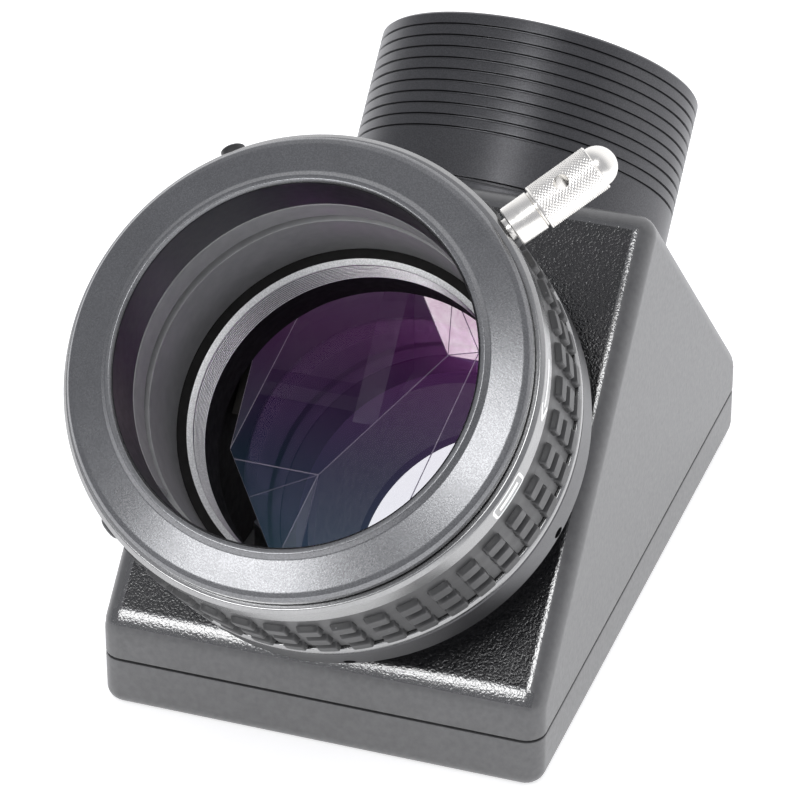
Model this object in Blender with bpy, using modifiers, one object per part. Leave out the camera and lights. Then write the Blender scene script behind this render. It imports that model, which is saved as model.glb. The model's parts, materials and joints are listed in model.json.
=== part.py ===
"""A 90 degree roof-prism star diagonal for telescopes.

It has a 2 inch nosepiece and a 2 inch twist-lock eyepiece clamp. The wedge-shaped housing stands on its
base cover: +Z is up, +X is the object's right-hand side, the eyepiece side leans towards -Y and the
nosepiece towards +Y. The origin is the middle of the cover's underside. The sizes below are in
millimetres, and MM turns them into Blender's metres.

Heights called h run along an optical axis, from the point on the prism's roof edge where the two axes
meet. Angles round the eyepiece axis are counted from +X, anticlockwise as seen by the observer.
"""

from math import cos, pi, radians, sin, sqrt

import bmesh
import bpy
from mathutils import Matrix, Vector

MM = 0.001
GAP = 0.3
RING_STEPS = 56

# Housing and cover
WIDTH = 67.4
LENGTH = 105.2
COVER_TOP = 8.05
HOUSING_BOTTOM = COVER_TOP + GAP
WALL_TOP = 14.1
APEX = WALL_TOP + LENGTH / 2
EDGE_RADIUS = 3.0
WALL = 3.2
CAVITY_HALF_WIDTH = 24.6
AXES_Z = 8.9
FACE_H = (APEX - AXES_Z) / sqrt(2)
MOUNT_BORE_R = 24.9
POCKET_FLOOR = 4.0

# Roof prism
PRISM_LEG = 35.5
PRISM_HALF_WIDTH = 22.5
PRISM_END_H = 26.4
PRISM_TOP = 46.0
PRISM_BEVEL = 0.4

# Nosepiece
NOSE_R = 25.4
NOSE_END_H = 72.0
NOSE_STEPS = 40
GROOVES = 10
GROOVE_FIRST_H = 69.85
GROOVE_PITCH = 1.825
GROOVE_HALF_WIDTH = 0.2
GROOVE_DEPTH = 0.35

# Eyepiece clamp
BORE_R = 25.5
BODY_R = 34.4
SLEEVE_R = 28.5
CAGE_R = 27.2
BAND_OUTER_R = CAGE_R - GAP
BAND_H = (69.3, 74.5)
BAND_SPLIT_ANGLE = -129.5
BAND_SPLIT_WIDTH = 4.8
FLANGE_R = 32.6
LIP_H = 84.9
RING_R = 33.85
RING_H = (57.5, 80.8)
RUBBER_SEAT_R = 33.0
RUBBER_R = 34.6
RUBBER_H = (59.5, 75.9)
RACE_R = 29.95
RACE_DROP = 0.25
RACE_H = (69.3, 74.6)
LOCK_TURN = 35.0
ROLLER_R = 1.2
ROLLER_LENGTH = 3.6
ROLLER_H = 72.0
ROLLER_CENTRE_R = RACE_R - GAP - ROLLER_R
ROLLER_ANGLES = (30.0, 150.0, 270.0)
PIN_HOLE_R = 0.9
PIN_HOLE_H = 51.6
PIN_HOLE_ANGLES = [-16.7 + 60 * k for k in range(6)]
DETENT_RING_R = 31.2
DETENT_ANGLE = 200.0
BALL_R = 1.2
BALL_TOP_H = 58.0
SOCKET_H = 78.4
SOCKET_R = 1.9
STUD_R = 1.6
LEVER_ANGLE = 47.0
PLUG_ANGLES = {"upper": 121.5, "lower": 230.0}
PLUG_TOP_R = {"upper": 35.2, "lower": 34.35}
PLUG_HEAD_R = 1.75
PLUG_FOOT_R = 31.55
DOME_R = 2.9
DOME_CENTRE_R = 48.65
KNURL_R = 3.35

# Fasteners
COVER_SCREW_AT = (29.0, 44.0)
CRADLE_SCREW_X = 12.0

PARTS = "star_diagonal"
CUTTERS = "cutters"


def clear_scene():
    for obj in list(bpy.data.objects):
        bpy.data.objects.remove(obj, do_unlink=True)
    for name in (PARTS, CUTTERS):
        collection = bpy.data.collections.new(name)
        bpy.context.scene.collection.children.link(collection)
    bpy.data.collections[CUTTERS].hide_render = True


def principled(name, color, roughness, metallic=0.0, transmission=0.0):
    material = bpy.data.materials.new(name)
    material.use_nodes = True
    shader = material.node_tree.nodes["Principled BSDF"]
    shader.inputs["Base Color"].default_value = (*color, 1)
    shader.inputs["Roughness"].default_value = roughness
    shader.inputs["Metallic"].default_value = metallic
    shader.inputs["Transmission Weight"].default_value = transmission
    return material


def make_materials():
    return {
        "wrinkle_black": principled("wrinkle_black", (0.018, 0.018, 0.02), 0.5, 0.2),
        "satin_black": principled("satin_black", (0.035, 0.035, 0.038), 0.38, 0.6),
        "matt_black": principled("matt_black", (0.012, 0.012, 0.012), 0.75),
        "rubber": principled("rubber", (0.03, 0.03, 0.032), 0.7),
        "bright_metal": principled("bright_metal", (0.78, 0.76, 0.73), 0.28, 1.0),
        "steel": principled("steel", (0.45, 0.45, 0.46), 0.35, 1.0),
        "brass": principled("brass", (0.72, 0.55, 0.25), 0.35, 1.0),
        "glass": principled("glass", (0.9, 0.85, 0.95), 0.0, 0.0, 1.0),
        "foam": principled("foam", (0.02, 0.02, 0.02), 0.9),
        "bare_aluminium": principled("bare_aluminium", (0.6, 0.6, 0.6), 0.45, 1.0),
    }


def axis_empty(name, tilt):
    """An empty whose Z is an optical axis, with X to the right."""
    empty = bpy.data.objects.new(name, None)
    empty.location = (0, 0, AXES_Z * MM)
    empty.rotation_euler = (radians(tilt), 0, 0)
    bpy.data.collections[PARTS].objects.link(empty)
    return empty


def add_object(name, mesh, parent=None, material=None, cutter=False):
    obj = bpy.data.objects.new(name, mesh)
    bpy.data.collections[CUTTERS if cutter else PARTS].objects.link(obj)
    obj.parent = parent
    if cutter:
        obj.hide_render = True
        obj.display_type = "WIRE"
    if material:
        mesh.materials.append(material)
        mesh.shade_smooth()
        mesh.set_sharp_from_angle(angle=radians(35))
    return obj


def turned(name, profile, parent, material=None, steps=RING_STEPS, solid=False, cutter=False):
    """Turns (radius, height) points about the parent's Z. The points run down the outer side."""
    points = [(r * MM, 0, h * MM) for r, h in profile]
    edges = [(k, k + 1) for k in range(len(points) - 1)]
    if not solid:
        edges.append((len(points) - 1, 0))
    mesh = bpy.data.meshes.new(name)
    mesh.from_pydata(points, edges, [])
    obj = add_object(name, mesh, parent, None, cutter)
    if material:
        mesh.materials.append(material)
    screw = obj.modifiers.new("turn", "SCREW")
    screw.steps = steps
    screw.render_steps = steps
    screw.use_merge_vertices = True
    screw.merge_threshold = 0.00001
    screw.use_smooth_shade = not cutter
    return obj


def extruded(name, outline, half_thickness, location, rotation, material=None, parent=None, cutter=False):
    """A flat outline with a thickness, made as a filled 2D curve and turned into a mesh."""
    curve = bpy.data.curves.new(name, "CURVE")
    curve.dimensions = "2D"
    curve.fill_mode = "BOTH"
    curve.extrude = half_thickness * MM
    spline = curve.splines.new("POLY")
    spline.points.add(len(outline) - 1)
    for point, (x, y) in zip(spline.points, outline):
        point.co = (x * MM, y * MM, 0, 1)
    spline.use_cyclic_u = True
    source = bpy.data.objects.new(name + "_outline", curve)
    bpy.context.scene.collection.objects.link(source)
    mesh = bpy.data.meshes.new_from_object(source.evaluated_get(bpy.context.evaluated_depsgraph_get()))
    bpy.data.objects.remove(source, do_unlink=True)
    weld = bmesh.new()
    weld.from_mesh(mesh)
    bmesh.ops.remove_doubles(weld, verts=weld.verts, dist=0.00001)
    weld.to_mesh(mesh)
    weld.free()
    mesh.name = name
    obj = add_object(name, mesh, parent, material, cutter)
    obj.location = [value * MM for value in location]
    obj.rotation_euler = [radians(angle) for angle in rotation]
    return obj


def box(name, low, high, material=None, parent=None, cutter=False):
    """A box between two corners in the parent's frame."""
    mesh = bpy.data.meshes.new(name)
    shape = bmesh.new()
    bmesh.ops.create_cube(shape, size=1)
    size = [(b - a) * MM for a, b in zip(low, high)]
    bmesh.ops.scale(shape, vec=size, verts=shape.verts)
    shape.to_mesh(mesh)
    shape.free()
    obj = add_object(name, mesh, parent, material, cutter)
    obj.location = [(a + b) / 2 * MM for a, b in zip(low, high)]
    return obj


def rod(name, radius, start, end, parent=None, material=None, sides=24, cutter=False):
    """A cylinder between two points in the parent's frame."""
    start, end = Vector(start) * MM, Vector(end) * MM
    mesh = bpy.data.meshes.new(name)
    shape = bmesh.new()
    bmesh.ops.create_cone(
        shape, cap_ends=True, segments=sides, radius1=radius * MM, radius2=radius * MM, depth=(end - start).length
    )
    shape.to_mesh(mesh)
    shape.free()
    obj = add_object(name, mesh, parent, material, cutter)
    obj.location = (start + end) / 2
    obj.rotation_euler = (end - start).to_track_quat("Z", "X").to_euler()
    return obj


def cut(obj, *cutters):
    combine(obj, "DIFFERENCE", *cutters)


def combine(obj, operation, *others):
    for other in others:
        boolean = obj.modifiers.new(other.name, "BOOLEAN")
        boolean.operation = operation
        boolean.solver = "EXACT"
        boolean.object = other


def round_edges(obj, keep_sharp, radius=EDGE_RADIUS, segments=3):
    """Rounds every edge of a mesh but those whose ends both pass keep_sharp."""
    shape = bmesh.new()
    shape.from_mesh(obj.data)
    bmesh.ops.dissolve_limit(shape, angle_limit=radians(1), verts=shape.verts, edges=shape.edges)
    edges = [edge for edge in shape.edges if not all(keep_sharp(v.co) for v in edge.verts)]
    bmesh.ops.bevel(shape, geom=edges, offset=radius * MM, segments=segments, profile=0.5, affect="EDGES")
    shape.to_mesh(obj.data)
    shape.free()
    obj.data.shade_smooth()
    obj.data.set_sharp_from_angle(angle=radians(35))


def polar(radius, angle, h):
    """A point at this angle round an optical axis."""
    return (radius * cos(radians(angle)), radius * sin(radians(angle)), h)


def wedge_outline(bottom, wall_top, half_length):
    """The housing's side view: a rectangle with a right-angled roof, as (y, z) points."""
    return [
        (-half_length, bottom),
        (half_length, bottom),
        (half_length, wall_top),
        (0, wall_top + half_length),
        (-half_length, wall_top),
    ]


def prism_housing(materials, eyepiece_axis, nose_axis):
    upright = (90, 0, 90)
    outline = wedge_outline(HOUSING_BOTTOM, WALL_TOP, LENGTH / 2)
    housing = extruded("prism_housing", outline, WIDTH / 2, (0, 0, 0), upright, materials["wrinkle_black"])
    round_edges(housing, keep_sharp=lambda co: co.y < (HOUSING_BOTTOM + 0.1) * MM)
    half_cavity = LENGTH / 2 - WALL
    cavity_wall_top = APEX - WALL * sqrt(2) - half_cavity
    hollow = wedge_outline(HOUSING_BOTTOM - 2, cavity_wall_top, half_cavity)
    cut(
        housing,
        extruded("cavity_cutter", hollow, CAVITY_HALF_WIDTH, (0, 0, 0), upright, cutter=True),
        rod("eyepiece_bore_cutter", MOUNT_BORE_R, (0, 0, FACE_H - WALL - 0.4), (0, 0, FACE_H + 2),
            eyepiece_axis, sides=RING_STEPS, cutter=True),
        rod("nose_bore_cutter", MOUNT_BORE_R, (0, 0, FACE_H - WALL - 0.4), (0, 0, FACE_H + 2),
            nose_axis, sides=RING_STEPS, cutter=True),
    )
    for number, (x, y) in enumerate(cover_screw_places(), 1):
        hole = rod(f"tapped_hole_cutter_{number}", 1.6, (x, y, COVER_TOP), (x, y, COVER_TOP + 9), sides=16, cutter=True)
        cut(housing, hole)


def cover_screw_places():
    x, y = COVER_SCREW_AT
    return [(-x, -y), (x, -y), (x, y), (-x, y)]


def base_cover(materials):
    low = (-WIDTH / 2, -LENGTH / 2, 0)
    high = (WIDTH / 2, LENGTH / 2, COVER_TOP)
    cover = box("base_cover", low, high, materials["satin_black"])
    half_height = COVER_TOP / 2 * MM
    round_edges(cover, keep_sharp=lambda co: co.z > half_height * 0.9)
    cut(cover, box("pocket_cutter", (-22, -43, POCKET_FLOOR), (22, 43, COVER_TOP + 1), cutter=True))
    for number, (x, y) in enumerate(cover_screw_places(), 1):
        cut(
            cover,
            rod(f"head_recess_cutter_{number}", 3.1, (x, y, -1), (x, y, 3.2), sides=20, cutter=True),
            rod(f"clearance_hole_cutter_{number}", 1.7, (x, y, 3), (x, y, COVER_TOP + 1), sides=16, cutter=True),
        )
    for side in (-1, 1):
        x = side * CRADLE_SCREW_X
        cut(cover, rod(f"cradle_hole_cutter_{side}", 1.3, (x, 0, 1.2), (x, 0, POCKET_FLOOR + 1), sides=16, cutter=True))


def socket_screw(name, head_r, head_height, shank_r, length, parent, material, dome=0.0):
    """A screw whose head's outer face is at its own z = 0, with the shank running up +Z."""
    profile = [(0, length), (shank_r, length), (shank_r, head_height), (head_r, head_height)]
    if dome:
        profile += [(head_r, dome), (head_r * 0.8, dome * 0.35), (head_r * 0.5, 0)]
    else:
        profile += [(head_r, 0.3), (head_r - 0.3, 0)]
    profile.append((0, 0))
    screw = turned(name, profile, parent, material, steps=16, solid=True)
    socket = rod(name + "_socket_cutter", head_r * 0.42, (0, 0, -1), (0, 0, head_height * 0.55),
                 screw, sides=6, cutter=True)
    cut(screw, socket)
    return screw


def cover_screws(materials):
    for number, (x, y) in enumerate(cover_screw_places(), 1):
        screw = socket_screw(f"cover_screw_{number}", 2.75, 2.4, 1.3, 15.0, None, materials["steel"])
        screw.location = (x * MM, y * MM, 0.5 * MM)


def keep_side(shape, normal, distance):
    """Cuts away what lies beyond a plane and closes the cut."""
    normal = Vector(normal).normalized()
    geometry = shape.verts[:] + shape.edges[:] + shape.faces[:]
    result = bmesh.ops.bisect_plane(
        shape, geom=geometry, plane_co=normal * distance * MM, plane_no=normal, clear_outer=True
    )
    rim = [item for item in result["geom_cut"] if isinstance(item, bmesh.types.BMEdge)]
    bmesh.ops.contextual_create(shape, geom=rim)


def roof_prism(materials):
    """The planes are in a frame whose origin is the roof edge's middle."""
    mesh = bpy.data.meshes.new("roof_prism")
    shape = bmesh.new()
    bmesh.ops.create_cube(shape, size=400 * MM)
    keep_side(shape, (1, 0, 0), PRISM_HALF_WIDTH)
    keep_side(shape, (-1, 0, 0), PRISM_HALF_WIDTH)
    keep_side(shape, (0, -1, 1), PRISM_LEG)
    keep_side(shape, (0, 1, 1), PRISM_LEG)
    keep_side(shape, (1, 0, -1), 0)
    keep_side(shape, (-1, 0, -1), 0)
    keep_side(shape, (0, -1, -1), PRISM_END_H)
    keep_side(shape, (0, 1, -1), PRISM_END_H)
    keep_side(shape, (0, 0, 1), PRISM_TOP)
    bmesh.ops.bevel(shape, geom=shape.edges[:], offset=PRISM_BEVEL * MM, segments=1, affect="EDGES")
    bmesh.ops.recalc_face_normals(shape, faces=shape.faces)
    shape.to_mesh(mesh)
    shape.free()
    prism = bpy.data.objects.new("roof_prism", mesh)
    mesh.materials.append(materials["glass"])
    bpy.data.collections[PARTS].objects.link(prism)
    prism.location = (0, 0, AXES_Z * MM)


def prism_cradle(materials):
    """A plate in the cover's pocket with two ribs, each notched to the roof's right angle."""
    plate_top = POCKET_FLOOR + GAP + 2
    cradle = box("prism_cradle", (-20, -41, POCKET_FLOOR + GAP), (20, 41, plate_top), materials["bare_aluminium"])
    half_width = 16
    notch_bottom = AXES_Z - GAP * sqrt(2)
    rib = [
        (-half_width, plate_top - 1),
        (half_width, plate_top - 1),
        (half_width, notch_bottom + half_width),
        (0, notch_bottom),
        (-half_width, notch_bottom + half_width),
    ]
    for side in (-1, 1):
        end = extruded(f"cradle_rib_{side}", rib, 2, (0, 33 * side, 0), (90, 0, 0), cutter=True)
        combine(cradle, "UNION", end)
    for side in (-1, 1):
        x = side * CRADLE_SCREW_X
        cut(cradle, rod(f"cradle_clearance_cutter_{side}", 1.3, (x, 0, 3), (x, 0, 8), sides=16, cutter=True))
    for side, name in ((-1, "left"), (1, "right")):
        screw = socket_screw(f"cradle_screw_{name}", 2.2, 1.8, 1.0, 6.0, None, materials["steel"])
        screw.rotation_euler = (pi, 0, 0)
        screw.location = (side * CRADLE_SCREW_X * MM, 0, (plate_top + GAP + 1.8) * MM)


def prism_pads(materials):
    side_outline = [(-22, 25), (22, 25), (6, 41), (-6, 41)]
    thickness = CAVITY_HALF_WIDTH - PRISM_HALF_WIDTH - 2 * GAP
    middle = PRISM_HALF_WIDTH + GAP + thickness / 2
    for side, name in ((-1, "left"), (1, "right")):
        extruded(f"prism_pad_{name}", side_outline, thickness / 2, (side * middle, 0, AXES_Z), (90, 0, 90),
                 materials["foam"])
    box("prism_pad_top", (-20, -3, AXES_Z + PRISM_TOP + GAP), (20, 3, AXES_Z + PRISM_TOP + 3.6), materials["foam"])


def nosepiece(materials, axis):
    profile = [(23.9, NOSE_END_H), (NOSE_R - 0.4, NOSE_END_H), (NOSE_R, NOSE_END_H - 0.4)]
    for number in range(GROOVES):
        h = GROOVE_FIRST_H - number * GROOVE_PITCH
        profile += [(NOSE_R, h + GROOVE_HALF_WIDTH), (NOSE_R - GROOVE_DEPTH, h), (NOSE_R, h - GROOVE_HALF_WIDTH)]
    profile += [(NOSE_R, 46.0), (24.6, 46.0), (24.6, 38.0), (23.3, 38.0), (23.3, 67.0), (23.9, 67.0)]
    turned("nosepiece_barrel", profile, axis, materials["satin_black"], steps=NOSE_STEPS)
    seat = FACE_H + GAP
    lock_ring = [(24.9, 45.3), (26.0, 45.3), (26.3, 45.0), (26.3, seat), (24.9, seat)]
    turned("nosepiece_lock_ring", lock_ring, axis, materials["satin_black"])


def clamp_mount_ring(materials, axis):
    seat = FACE_H + GAP
    profile = [
        (24.2, 53.2), (27.2, 53.2), (27.2, 49.7), (30.0, 49.7), (30.0, seat), (24.6, seat),
        (24.6, 38.0), (23.6, 38.0), (23.6, 46.3), (23.2, 46.7), (23.2, 52.4),
    ]
    turned("clamp_mount_ring", profile, axis, materials["matt_black"])


def clamp_body(materials, axis):
    profile = [
        (CAGE_R, 76.2), (SLEEVE_R, 76.2), (SLEEVE_R, 57.2), (BODY_R - 0.5, 57.2), (BODY_R, 56.7),
        (BODY_R, 50.5), (BODY_R - 0.5, 50.0), (27.5, 50.0), (27.5, 53.5), (BORE_R, 53.5), (BORE_R, 67.0),
        (CAGE_R, 67.0),
    ]
    body = turned("clamp_body", profile, axis, materials["satin_black"])
    for number, angle in enumerate(PIN_HOLE_ANGLES, 1):
        cut(body, rod(f"pin_hole_cutter_{number}", PIN_HOLE_R, polar(BODY_R - 2.4, angle, PIN_HOLE_H),
                      polar(BODY_R + 1, angle, PIN_HOLE_H), axis, sides=12, cutter=True))
    half = ROLLER_R + GAP
    for number, angle in enumerate(ROLLER_ANGLES, 1):
        window = box(f"roller_window_cutter_{number}", (CAGE_R - 0.6, -half, ROLLER_H - 2.1),
                     (SLEEVE_R + 0.6, half, ROLLER_H + 2.1), parent=axis, cutter=True)
        turn_about_axis(window, angle)
        cut(body, window)
    cut(body, rod("detent_pocket_cutter", BALL_R + GAP, polar(DETENT_RING_R, DETENT_ANGLE, 51.6),
                  polar(DETENT_RING_R, DETENT_ANGLE, 58), axis, sides=16, cutter=True))


def turn_about_axis(obj, angle):
    """Swings an object placed on its parent's +X side round the parent's Z."""
    turn = Matrix.Rotation(radians(angle), 4, "Z")
    obj.matrix_basis = turn @ obj.matrix_basis


def front_flange(materials, axis):
    profile = [
        (BORE_R, LIP_H - 0.6), (BORE_R + 0.4, LIP_H), (26.5, LIP_H), (27.2, 84.4), (31.5, 83.4), (32.2, 83.1),
        (FLANGE_R, 82.6), (FLANGE_R, 81.3), (30.2, 81.3), (30.2, 74.2), (28.8, 74.2), (28.8, 76.5),
        (BAND_OUTER_R, 76.5), (BAND_OUTER_R, 74.8), (BORE_R, 74.8),
    ]
    turned("front_flange", profile, axis, materials["satin_black"])


def race_radius(angle):
    """The cam race's radius in the lock ring: three ramps that fall as the ring turns to its lock."""
    along = (angle - ROLLER_ANGLES[0] + 10) % 120 - 10
    if along <= 0 or along >= 70:
        return RACE_R
    if along <= LOCK_TURN:
        return RACE_R - RACE_DROP * along / LOCK_TURN
    if along <= LOCK_TURN + 10:
        return RACE_R - RACE_DROP
    return RACE_R - RACE_DROP * (70 - along) / (70 - LOCK_TURN - 10)


def lock_ring(materials, axis):
    low, high = RING_H
    profile = [
        (30.5, high), (RING_R - 0.6, high), (RING_R, high - 0.6), (RING_R, RUBBER_H[1] + GAP),
        (RUBBER_SEAT_R, RUBBER_H[1] + GAP), (RUBBER_SEAT_R, RUBBER_H[0] - GAP), (34.2, RUBBER_H[0] - GAP),
        (RUBBER_R, 58.8), (RUBBER_R, 57.9), (34.2, low), (DETENT_RING_R + 1.5, low), (DETENT_RING_R + 1.5, 58.3),
        (DETENT_RING_R - 1.5, 58.3), (DETENT_RING_R - 1.5, low), (SLEEVE_R + GAP, low),
        (SLEEVE_R + GAP, 73.9), (30.5, 73.9),
    ]
    ring = turned("lock_ring", profile, axis, materials["satin_black"])
    race = [(race_radius(a) * cos(radians(a)), race_radius(a) * sin(radians(a))) for a in range(0, 360, 5)]
    middle = sum(RACE_H) / 2
    cut(ring, extruded("cam_race_cutter", race, (RACE_H[1] - RACE_H[0]) / 2, (0, 0, middle), (0, 0, 0),
                       parent=axis, cutter=True))
    for name, angle in {"lever": LEVER_ANGLE, **PLUG_ANGLES}.items():
        cut(ring, rod(f"{name}_socket_cutter", SOCKET_R, polar(31.1, angle, SOCKET_H), polar(35, angle, SOCKET_H),
                      axis, sides=16, cutter=True))
    for number, turn in enumerate((0, LOCK_TURN)):
        angle = DETENT_ANGLE + turn
        cut(ring, rod(f"click_notch_cutter_{number}", 0.7, polar(DETENT_RING_R, angle, 58),
                      polar(DETENT_RING_R, angle, 58.9), axis, sides=12, cutter=True))


def grip_rubber(materials, axis):
    inner = RUBBER_SEAT_R + GAP
    low, high = RUBBER_H
    profile = [(inner, high), (RUBBER_R - 0.3, high), (RUBBER_R, high - 0.3), (RUBBER_R, low + 0.3),
               (RUBBER_R - 0.3, low), (inner, low)]
    turned("grip_rubber", profile, axis, materials["rubber"])


def clamp_band(materials, axis):
    low, high = BAND_H
    band = turned("clamp_band", [(BORE_R, high), (BAND_OUTER_R, high), (BAND_OUTER_R, low), (BORE_R, low)],
                  axis, materials["brass"])
    half = BAND_SPLIT_WIDTH / 2
    split = box("band_split_cutter", (BORE_R - 1, -half, low - 1), (BAND_OUTER_R + 1, half, high + 1),
                parent=axis, cutter=True)
    turn_about_axis(split, BAND_SPLIT_ANGLE)
    cut(band, split)


def clamp_rollers(materials, axis):
    half = ROLLER_LENGTH / 2
    for number, angle in enumerate(ROLLER_ANGLES, 1):
        rod(f"clamp_roller_{number}", ROLLER_R, polar(ROLLER_CENTRE_R, angle, ROLLER_H - half),
            polar(ROLLER_CENTRE_R, angle, ROLLER_H + half), axis, materials["steel"], sides=16)


def detent(materials, axis):
    mesh = bpy.data.meshes.new("detent_ball")
    shape = bmesh.new()
    bmesh.ops.create_uvsphere(shape, u_segments=12, v_segments=8, radius=BALL_R * MM)
    shape.to_mesh(mesh)
    shape.free()
    ball = add_object("detent_ball", mesh, axis, materials["steel"])
    ball.location = [value * MM for value in polar(DETENT_RING_R, DETENT_ANGLE, BALL_TOP_H - BALL_R)]

    coil_r, wire_r, turns, low, high = 0.8, 0.16, 4, 51.6 + GAP + 0.16, 54.9
    centre = Vector(polar(DETENT_RING_R, DETENT_ANGLE, 0))
    curve = bpy.data.curves.new("detent_spring", "CURVE")
    curve.dimensions = "3D"
    curve.bevel_depth = wire_r * MM
    curve.bevel_resolution = 1
    curve.use_fill_caps = True
    points_per_turn = 10
    count = turns * points_per_turn
    spline = curve.splines.new("POLY")
    spline.points.add(count)
    for k, point in enumerate(spline.points):
        angle = 2 * pi * k / points_per_turn
        place = centre + Vector((coil_r * cos(angle), coil_r * sin(angle), low + (high - low) * k / count))
        point.co = (*(place * MM), 1)
    spring = bpy.data.objects.new("detent_spring", curve)
    curve.materials.append(materials["steel"])
    bpy.data.collections[PARTS].objects.link(spring)
    spring.parent = axis


def radial_frame(name, angle, axis):
    """An empty on the lock ring whose Z points straight out from the eyepiece axis at this angle."""
    empty = bpy.data.objects.new(name, None)
    bpy.data.collections[PARTS].objects.link(empty)
    empty.parent = axis
    outward = Vector(polar(1, angle, 0))
    along = Vector((0, 0, 1))
    frame = Matrix((along, outward.cross(along), outward)).transposed().to_4x4()
    empty.matrix_basis = Matrix.Translation(Vector((0, 0, SOCKET_H * MM))) @ frame
    return empty


def clamp_lever(materials, axis):
    frame = radial_frame("lever_frame", LEVER_ANGLE, axis)
    dome = [(DOME_R * cos(radians(a)), DOME_CENTRE_R + DOME_R * sin(radians(a))) for a in (90, 67, 45, 22, 0)]
    profile = [
        *dome, (KNURL_R - 0.15, DOME_CENTRE_R), (KNURL_R, 48.5), (KNURL_R, 39.1), (KNURL_R - 0.1, 39.0),
        (2.7, 39.0), (2.7, 38.75), (2.95, 38.65), (2.95, 34.65), (2.8, 34.5), (STUD_R, 34.5), (STUD_R, 31.5),
        (0, 31.5),
    ]
    profile[0] = (0, DOME_CENTRE_R + DOME_R)
    lever = turned("clamp_lever", profile, frame, materials["bright_metal"], steps=24, solid=True)
    cut(lever, rod("cross_hole_cutter", 1.1, (-5, 0, 43.5), (5, 0, 43.5), frame, sides=16, cutter=True))


def plug_screws(materials, axis):
    for name, angle in PLUG_ANGLES.items():
        frame = radial_frame(f"plug_frame_{name}", angle, axis)
        top = PLUG_TOP_R[name]
        plug = socket_screw(f"plug_screw_{name}", PLUG_HEAD_R, 1.4, STUD_R, top - PLUG_FOOT_R, frame,
                            materials["satin_black"], dome=0.4)
        plug.rotation_euler = (pi, 0, 0)
        plug.location = (0, 0, top * MM)


def main():
    clear_scene()
    materials = make_materials()
    eyepiece_axis = axis_empty("eyepiece_axis", 45)
    nose_axis = axis_empty("nose_axis", -45)
    prism_housing(materials, eyepiece_axis, nose_axis)
    base_cover(materials)
    cover_screws(materials)
    roof_prism(materials)
    prism_cradle(materials)
    prism_pads(materials)
    nosepiece(materials, nose_axis)
    clamp_mount_ring(materials, eyepiece_axis)
    clamp_body(materials, eyepiece_axis)
    front_flange(materials, eyepiece_axis)
    lock_ring(materials, eyepiece_axis)
    grip_rubber(materials, eyepiece_axis)
    clamp_band(materials, eyepiece_axis)
    clamp_rollers(materials, eyepiece_axis)
    detent(materials, eyepiece_axis)
    clamp_lever(materials, eyepiece_axis)
    plug_screws(materials, eyepiece_axis)


main()
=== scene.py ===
"""The looks of a 2 inch roof-prism star diagonal with a twist-lock eyepiece clamp.

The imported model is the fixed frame. Each visible node is stood for by a finer piece, made here in the same
place and at the same size, and the hidden hardware keeps its own meshes and gets better materials. Lengths
are in millimetres unless a name says otherwise, and MM turns them into metres. A height h is measured along
an optical axis from the point where the two axes cross, and an angle round the eyepiece axis is counted
from +X, anticlockwise for the observer.
"""

import json
from math import cos, pi, radians, sin, sqrt

import bmesh
import bpy
from mathutils import Matrix, Vector


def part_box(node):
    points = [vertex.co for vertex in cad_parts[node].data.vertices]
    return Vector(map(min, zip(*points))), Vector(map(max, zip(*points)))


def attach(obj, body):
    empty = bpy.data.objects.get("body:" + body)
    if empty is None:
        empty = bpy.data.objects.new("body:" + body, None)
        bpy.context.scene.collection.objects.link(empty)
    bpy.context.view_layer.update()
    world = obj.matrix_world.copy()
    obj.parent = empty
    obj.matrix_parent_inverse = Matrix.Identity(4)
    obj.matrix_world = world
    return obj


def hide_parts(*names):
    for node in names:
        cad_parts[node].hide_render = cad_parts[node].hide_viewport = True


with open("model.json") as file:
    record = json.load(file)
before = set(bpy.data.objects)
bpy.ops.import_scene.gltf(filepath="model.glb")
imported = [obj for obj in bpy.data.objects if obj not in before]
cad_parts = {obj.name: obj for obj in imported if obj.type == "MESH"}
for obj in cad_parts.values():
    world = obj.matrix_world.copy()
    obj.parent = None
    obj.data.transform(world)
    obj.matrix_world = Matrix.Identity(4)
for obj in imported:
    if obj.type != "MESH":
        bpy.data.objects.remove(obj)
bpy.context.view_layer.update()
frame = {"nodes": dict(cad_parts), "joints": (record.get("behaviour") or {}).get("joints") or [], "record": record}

MM = 0.001
STEPS = 224
HOUSING_BODY = "housing"
RING_BODY = "lock_ring"
LOCK_JOINT = next(joint for joint in frame["joints"] if joint["name"] == "lock_ring_turn")
AXES_Z = LOCK_JOINT["pos_m"][2] / MM


def size_of(node):
    """A node's extent along X, Y and Z."""
    low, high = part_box(node)
    return (high - low) / MM


# Outside radii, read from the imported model
FLANGE_R = size_of("front_flange").x / 2
RING_R = size_of("lock_ring").x / 2
RUBBER_R = size_of("grip_rubber").x / 2
BODY_R = size_of("clamp_body").x / 2
BAND_R = size_of("clamp_band").x / 2
NOSE_R = size_of("nosepiece_barrel").x / 2
NOSE_RING_R = size_of("nosepiece_lock_ring").x / 2
NECK_R = size_of("clamp_mount_ring").x / 2
WIDTH, LENGTH, COVER_TOP = size_of("base_cover")
HOUSING_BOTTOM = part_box("prism_housing")[0].z / MM

# Housing
WALL_TOP = 14.1
APEX = WALL_TOP + LENGTH / 2
FACE_H = (APEX - AXES_Z) / sqrt(2)
WALL = 3.2
CAVITY_HALF_WIDTH = 24.6
EDGE_RADIUS = 3.0
SEAT_GAP = 0.3
SEAT_BORE_R = 24.9
SLOPING_FACE = 0.9995
SHINING_EDGE = 0.93

# Clamp
BORE_R = 25.5
PRINT_R = 33.85
SOCKET_H = 78.4
LEVER_ANGLE = 47.0
PLUGS = {"upper": (121.5, 35.2), "lower": (230.0, 34.35)}
PIN_HOLE_ANGLES = [-16.7 + 60 * k for k in range(6)]
PIN_HOLE_H = 51.6
PIN_HOLE_R = 0.9

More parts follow.
